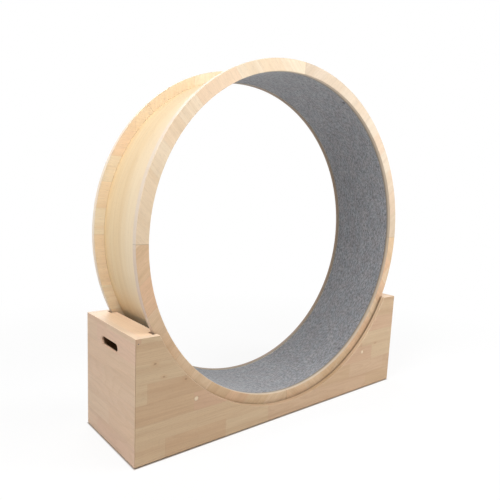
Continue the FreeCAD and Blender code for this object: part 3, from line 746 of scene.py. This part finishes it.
def make_veneer_group():
    """Rotary-cut veneer: long soft contour figure, fine pores and slow changes of tone."""
    inputs = [("Sheet", "Vector"), ("Seed", "Float"), ("Pale", "Color"), ("Warm", "Color"),
              ("Deep", "Color")]
    group, given, result = new_group("peeled veneer", inputs, surface_results)
    along, across, depth = split(group, given["Sheet"])
    seeded = join(group, along, calc(group, "ADD", across, given["Seed"]), depth)
    hills = cloud(group, stretch(group, seeded, (0.9, 6.5, 0.0)), 2.0, 0.4)
    contour = calc(group, "FRACT", calc(group, "MULTIPLY", hills, 16.0))
    contour_end = fade(group, contour, 0.85, 1.0, 1.0, 0.0)
    figure = calc(group, "MULTIPLY", calc(group, "POWER", contour, 2.5), contour_end)
    broad = cloud(group, stretch(group, seeded, (1.1, 17.0, 0.0)), 3.0)
    streak = cloud(group, stretch(group, seeded, (5.0, 160.0, 160.0)), 2.0)
    pores = fade(group, cloud(group, stretch(group, seeded, (110.0, 1500.0, 500.0)), 0.0), 0.64, 0.76)
    tint = blend(group, fade(group, broad, 0.3, 0.7), given["Pale"], given["Warm"])
    tint = blend(group, calc(group, "MULTIPLY", figure, 0.30), tint, given["Deep"])
    shade = calc(group, "MULTIPLY_ADD", streak, 0.14, 0.93)
    shade = calc(group, "MULTIPLY", shade, calc(group, "MULTIPLY_ADD", pores, -0.18, 1.0))
    group.links.new(shaded(group, tint, shade), result["Color"])
    group.links.new(calc(group, "MULTIPLY_ADD", streak, 0.16, 0.54), result["Roughness"])
    relief = calc(group, "MULTIPLY_ADD", figure, -0.2, calc(group, "MULTIPLY", streak, 0.4))
    group.links.new(calc(group, "MULTIPLY_ADD", pores, -0.3, relief), result["Height"])
    return group


veneer_group = make_veneer_group()
drum_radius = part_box("drum_right_half")[1].x
drum_seam_turn = 30.0    # clockwise turn from the top to the upper seam, in degrees
drum_half = 0.137        # from the middle to each rim's face
# painted shade along the corner where the drum meets each rim
groove_shade_line = 0.0035     # half of the width over which the groove's edge shows as dark
groove_shade_depth = 0.28
veneer_tones = {"Pale": (0.686, 0.541, 0.343, 1.0), "Warm": (0.645, 0.473, 0.265, 1.0),
                "Deep": (0.53, 0.354, 0.182, 1.0)}
# painted light: the veneer is paler toward the front
veneer_painted_light = (0.76, 0.67, 0.54, 1.0)
veneer_relief = 0.00018


def around_drum(tree):
    """Sheet coordinates on the drum: metres round it from the upper seam, along the axle, and deep."""
    x, y, z = split(tree, from_wheel_axle(tree, drum_seam_turn))
    turn = calc(tree, "ARCTAN2", x, z)
    round_drum = calc(tree, "MULTIPLY", turn, drum_radius)
    return join(tree, round_drum, y, calc(tree, "SUBTRACT", distance_of(tree, x, z), drum_radius))


def veneer_material(name, seed):
    """Veneer laid round the drum, with painted light that pales it toward the front, and painted shade
    along the rims' grooves.
    """
    material, tree, shader = new_wood(name)
    sheet = around_drum(tree)
    veneer = put(tree, "Group", {"Sheet": sheet, "Seed": seed, **veneer_tones}, node_tree=veneer_group)
    colour = veneer.outputs["Color"]
    across = split(tree, sheet)[1]
    # painted light, paler toward the front
    colour = blend(tree, fade(tree, across, -drum_half, drum_half, 0.45, 0.0), colour, veneer_painted_light)
    to_groove = calc(tree, "SUBTRACT", calc(tree, "ABSOLUTE", across), drum_half)
    # painted shade along the corner where the drum meets each rim
    colour = joint_and_shade_line(tree, colour, to_groove, groove_shade_line, groove_shade_depth)
    roughness = veneer.outputs["Roughness"]
    finish_surface(tree, shader, colour, roughness, veneer.outputs["Height"], veneer_relief)
    return material


dress(veneer_material("drum veneer right", 2.0), "drum_right_half")
dress(veneer_material("drum veneer left", 13.0), "drum_left_half")
dress(veneer_material("strap veneer", 27.0), "drum_seam_straps")


# ---- running mat ---------------------------------------------------------------------------
# One strip of pressed grey felt, three millimetres thick, laid once round the inside of the drum
# between the rims and butted at nine o'clock. It is heathered from dark, mid and light fibres.

mat_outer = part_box("running_mat")[1].z - wheel_axle.z
mat_inner = 0.561
mat_middle = (mat_inner + mat_outer) / 2
mat_depth = mat_outer - mat_inner
mat_side_gap = 0.0001
mat_half_width = mat_side - mat_side_gap
mat_edge_round = 0.0008
mat_seam_turn = math.radians(-90.0)
mat_seam_gap = 0.0006
mat_rows = 26            # cuts across the strip
mat_steps = 540          # steps round the drum
mat_wave = 0.0003        # how far the felt's face rises and falls
long_wave = 14.0         # waves per metre
short_wave = 41.0


def mat_profile():
    """Cross-section of the strip with eased corners, standing at the top of the drum."""
    bm = bmesh.new()
    bmesh.ops.create_grid(bm, x_segments=1, y_segments=1, size=0.5)
    upright = Matrix.Rotation(math.radians(90.0), 4, "Y")
    bmesh.ops.transform(bm, matrix=upright, verts=bm.verts)
    bmesh.ops.scale(bm, vec=(1.0, 2 * mat_half_width, mat_depth), verts=bm.verts)
    bmesh.ops.translate(bm, vec=(0.0, 0.0, wheel_axle.z + mat_middle), verts=bm.verts)
    bmesh.ops.bevel(bm, geom=bm.verts[:], offset=mat_edge_round, affect="VERTICES", segments=3,
                    profile=0.5, material=-1)
    long_edges = [edge for edge in bm.edges if edge.calc_length() > mat_half_width]
    bmesh.ops.subdivide_edges(bm, edges=long_edges, cuts=mat_rows)
    bmesh.ops.delete(bm, geom=bm.faces[:], context="FACES_ONLY")
    return bm


def turn_of(point):
    """Turn of a point about the axle, clockwise from the top."""
    return math.atan2(point.x, point.z - wheel_axle.z)


def spin_mat():
    """The whole strip: its cross-section swept once round the drum, closed at both ends."""
    bm = mat_profile()
    half_gap = mat_seam_gap / 2 / mat_inner
    start = mat_seam_turn + half_gap
    bmesh.ops.rotate(bm, cent=wheel_axle, matrix=Matrix.Rotation(start, 3, "Y"), verts=bm.verts)
    bmesh.ops.spin(bm, geom=bm.verts[:] + bm.edges[:], cent=wheel_axle, axis=(0.0, 1.0, 0.0),
                   angle=2 * math.pi - 2 * half_gap, steps=mat_steps, use_merge=False)
    bmesh.ops.holes_fill(bm, edges=[edge for edge in bm.edges if edge.is_boundary], sides=0)
    bmesh.ops.recalc_face_normals(bm, faces=bm.faces)

    # the felt's face rises and falls a little, because it is only pressed and glued
    for vert in bm.verts:
        outward = Vector((vert.co.x, 0.0, vert.co.z - wheel_axle.z))
        if outward.length < mat_inner + 0.0001:
            rise = noise.noise(vert.co * long_wave) + 0.5 * noise.noise(vert.co * short_wave)
            vert.co += outward.normalized() * mat_wave * (0.5 + 0.5 * rise)

    # metres round the drum and across it, for the felt's fibres
    sheet = bm.loops.layers.uv.new("sheet")
    for face in bm.faces:
        for loop in face.loops:
            round_drum = (turn_of(loop.vert.co) - start + half_gap) % (2 * math.pi) * mat_inner
            loop[sheet].uv = (round_drum, loop.vert.co.y)
    return bm


fibre_turns = (9.0, 40.0, 143.0, 173.0)   # degrees away from lengthways
felt_relief = 0.0006
felt_greys = {"Dark": (0.129, 0.13, 0.135, 1.0), "Mid": (0.31, 0.311, 0.321, 1.0),
              "Light": (0.565, 0.57, 0.585, 1.0)}
bluish_cast = (0.97, 1.0, 1.03, 1.0)
reddish_cast = (1.02, 0.99, 1.0, 1.0)


def make_felt_group():
    """Pressed felt: short fibres, most of them lengthways, in three greys with soft mottles."""
    inputs = [("Sheet", "Vector"), ("Dark", "Color"), ("Mid", "Color"), ("Light", "Color")]
    group, given, result = new_group("heathered felt", inputs, [("Color", "Color"), ("Height", "Float")])
    layers = []
    for turn in fibre_turns:
        laid = put(group, "VectorRotate", {"Vector": given["Sheet"], "Angle": math.radians(turn)},
                   rotation_type="Z_AXIS").outputs["Vector"]
        fibres = stretch(group, laid, (210.0, 1300.0, 1.0), (turn, turn, 0.0))
        layers.append(cloud(group, fibres, 2.0, 0.6))
    lighter = calc(group, "MAXIMUM", layers[0], layers[1])
    darker = calc(group, "MINIMUM", layers[2], layers[3])
    mottle = cloud(group, stretch(group, given["Sheet"], (70.0, 180.0, 1.0)), 3.0, 0.7)
    drift = cloud(group, stretch(group, given["Sheet"], (12.0, 36.0, 1.0)), 3.0, 0.6)
    hue = cloud(group, stretch(group, given["Sheet"], (26.0, 30.0, 1.0), (3.0, 8.0, 0.0)), 2.0)
    tint = blend(group, fade(group, mottle, 0.38, 0.60), given["Dark"], given["Mid"])
    tint = blend(group, fade(group, lighter, 0.53, 0.72, 0.0, 0.7), tint, given["Light"])
    tint = blend(group, fade(group, darker, 0.28, 0.45, 0.6, 0.0), tint, given["Dark"])
    tint = shaded(group, tint, calc(group, "MULTIPLY_ADD", drift, 0.60, 0.70))
    cast = blend(group, fade(group, hue, 0.35, 0.65), bluish_cast, reddish_cast)
    group.links.new(shaded(group, tint, cast), result["Color"])
    fuzz = calc(group, "ADD", lighter, calc(group, "MULTIPLY", darker, 0.8))
    group.links.new(calc(group, "MULTIPLY_ADD", mottle, 0.8, fuzz), result["Height"])
    return group


felt_group = make_felt_group()


def felt_material():
    """Felt in the strip's own coordinates, with the soft sheen of its loose fibres."""
    material, tree, shader = new_material("grey felt")
    sheet = put(tree, "TexCoord").outputs["UV"]
    felt = put(tree, "Group", {"Sheet": sheet, **felt_greys}, node_tree=felt_group).outputs
    shader.inputs["Sheen Weight"].default_value = 0.25
    shader.inputs["Sheen Roughness"].default_value = 0.6
    shader.inputs["Specular IOR Level"].default_value = 0.15
    rough = fade(tree, felt["Height"], 0.5, 2.0, 0.98, 0.88)
    finish_surface(tree, shader, felt["Color"], rough, felt["Height"], felt_relief)
    return material


def new_piece(name, bm, material, body):
    """Object of a finished mesh, at the origin, riding on one body."""
    mesh = bpy.data.meshes.new(name)
    bm.to_mesh(mesh)
    bm.free()
    mesh.materials.append(material)
    piece = bpy.data.objects.new(name, mesh)
    bpy.context.scene.collection.objects.link(piece)
    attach(piece, body)
    return piece


felt_mat = new_piece("felt_running_mat", spin_mat(), felt_material(), "wheel")
felt_mat.data.polygons.foreach_set("use_smooth", [True] * len(felt_mat.data.polygons))
felt_mat.data.set_sharp_from_angle(angle=math.radians(50.0))
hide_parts("running_mat")


# ---- floor ---------------------------------------------------------------------------------
# A plain white studio floor. Close to the wheel it takes a soft shadow, under the base a shadow is
# painted on it, and further out it is as white as the backdrop, so that no horizon shows.

floor_radius = 9.0
floor_tones = ((0.84, 0.84, 0.84, 1.0), (0.88, 0.88, 0.88, 1.0))
# painted shadow on the floor under the base
painted_under_base_shadow = (0.45, 0.39, 0.34, 1.0)
contact_fade = 0.006     # the dark tone under the base ends this far outside it
shadow_reach = 0.9       # within this distance of its middle the floor takes a visible shadow
plain_reach = 2.4 * shadow_reach
white = (1.0, 1.0, 1.0, 1.0)


def seen_directly(tree):
    """One for rays of the camera, of reflections and of clear materials, and none for light."""
    path = put(tree, "LightPath").outputs
    seen = calc(tree, "MAXIMUM", path["Is Camera Ray"], path["Is Glossy Ray"])
    return calc(tree, "MAXIMUM", seen, path["Is Transmission Ray"])


def floor_material():
    """White paint that glows where the camera sees it, except close to the wheel's shadow, with a shadow
    painted under the base.
    """
    material = bpy.data.materials.new("white studio floor")
    material.use_nodes = True
    tree = material.node_tree
    tree.nodes.clear()
    place = own_place(tree)
    x, y = split(tree, place)[:2]
    away = distance_of(tree, x, y)
    grain = cloud(tree, stretch(tree, place, (3.0, 3.0, 3.0)), 3.0)
    tone = blend(tree, grain, *floor_tones)
    glow = put(tree, "Emission", {"Color": white, "Strength": 1.0})
    past_end = calc(tree, "SUBTRACT", calc(tree, "ABSOLUTE", x), base_end)
    past_side = calc(tree, "ADD", calc(tree, "ABSOLUTE", y), base_front)
    outside = fade(tree, calc(tree, "MAXIMUM", past_end, past_side), 0.0, contact_fade)
    # painted shadow under the base, fading out just past its edge
    tone = blend(tree, outside, painted_under_base_shadow, tone)
    painted = put(tree, "BsdfDiffuse", {"Color": tone})
    whitened = fade(tree, away, shadow_reach, plain_reach, 0.84, 1.0)
    whitened = calc(tree, "MULTIPLY", whitened, outside)
    amount = calc(tree, "MULTIPLY", whitened, seen_directly(tree))
    mixed = put(tree, "MixShader", {0: amount, 1: painted.outputs["BSDF"], 2: glow.outputs["Emission"]})
    output = put(tree, "OutputMaterial")
    tree.links.new(mixed.outputs["Shader"], output.inputs["Surface"])
    return material


floor_bm = bmesh.new()
bmesh.ops.create_circle(floor_bm, cap_ends=True, segments=96, radius=floor_radius)
floor_mesh = bpy.data.meshes.new("studio_floor")
floor_bm.to_mesh(floor_mesh)
floor_bm.free()
floor_mesh.materials.append(floor_material())
studio_floor = bpy.data.objects.new("studio_floor", floor_mesh)
bpy.context.scene.collection.objects.link(studio_floor)


# ---- light ---------------------------------------------------------------------------------
# Soft boxes high in front of the wheel and high on its left, a lower one on the right, a weak one
# beside the camera and one behind the wheel, and an even pale surround.

lamp_aim = Vector((0.0, 0.0, 0.7))
surround_level = 0.30


def soft_box(name, place, width, height, power):
    """Area lamp turned toward the wheel; its size is in metres and its power in watts."""
    lamp = bpy.data.lights.new(name, "AREA")
    lamp.shape = "RECTANGLE"
    lamp.size = width
    lamp.size_y = height
    lamp.energy = power
    lamp_object = bpy.data.objects.new(name, lamp)
    lamp_object.location = place
    lamp_object.rotation_euler = (lamp_aim - Vector(place)).to_track_quat("-Z", "Y").to_euler()
    bpy.context.scene.collection.objects.link(lamp_object)


soft_box("high front soft box", (0.35, -1.65, 2.4), 1.6, 1.0, 15.6)
soft_box("high left soft box", (-1.8, -0.4, 2.5), 1.4, 1.4, 53.0)
soft_box("low left soft box", (-2.7, -1.8, 1.5), 1.6, 1.6, 3.0)
soft_box("low right soft box", (1.85, -1.6, 1.5), 1.4, 1.4, 40.0)
soft_box("rear soft box", (0.6, 2.5, 1.9), 1.8, 1.4, 26.0)

world = bpy.data.worlds.new("pale surround")
world.use_nodes = True
world_tree = world.node_tree
world_tree.nodes.clear()
surround = put(world_tree, "Background", {"Color": white, "Strength": surround_level})
backdrop = put(world_tree, "Background", {"Color": white, "Strength": 1.0})
chosen = put(world_tree, "MixShader", {0: seen_directly(world_tree), 1: surround.outputs["Background"],
                                       2: backdrop.outputs["Background"]})
world_output = put(world_tree, "OutputWorld")
world_tree.links.new(chosen.outputs["Shader"], world_output.inputs["Surface"])
bpy.context.scene.world = world


# ---- camera --------------------------------------------------------------------------------
# Eye height is about two thirds of the wheel's, in front of the base's left corner. The place,
# turn and lens were solved from the corners of the base and the ellipses of the rims.

image_width = 500.0      # the photo's width, in pixels, as are the three values below it
focal_pixels = 482.4
centre_column = 282.6
centre_row = 268.4
camera_place = (-1.1842, -1.3823, 0.8027)
camera_yaw = math.radians(42.63)
camera_pitch = math.radians(-8.69)
camera_roll = math.radians(3.21)

camera_data = bpy.data.cameras.new("photo view")
camera_data.sensor_width = 36.0
camera_data.lens = focal_pixels * camera_data.sensor_width / image_width
camera_data.shift_x = (image_width / 2 - centre_column) / image_width
camera_data.shift_y = (centre_row - image_width / 2) / image_width
camera = bpy.data.objects.new("photo view", camera_data)
level = Matrix.Rotation(-camera_yaw, 4, "Z")
tilted = level @ Matrix.Rotation(math.radians(90.0) + camera_pitch, 4, "X")
rolled = tilted @ Matrix.Rotation(camera_roll, 4, "Z")
camera.matrix_world = Matrix.Translation(camera_place) @ rolled
bpy.context.scene.collection.objects.link(camera)
bpy.context.scene.camera = camera
bpy.context.scene.view_settings.view_transform = "Standard"
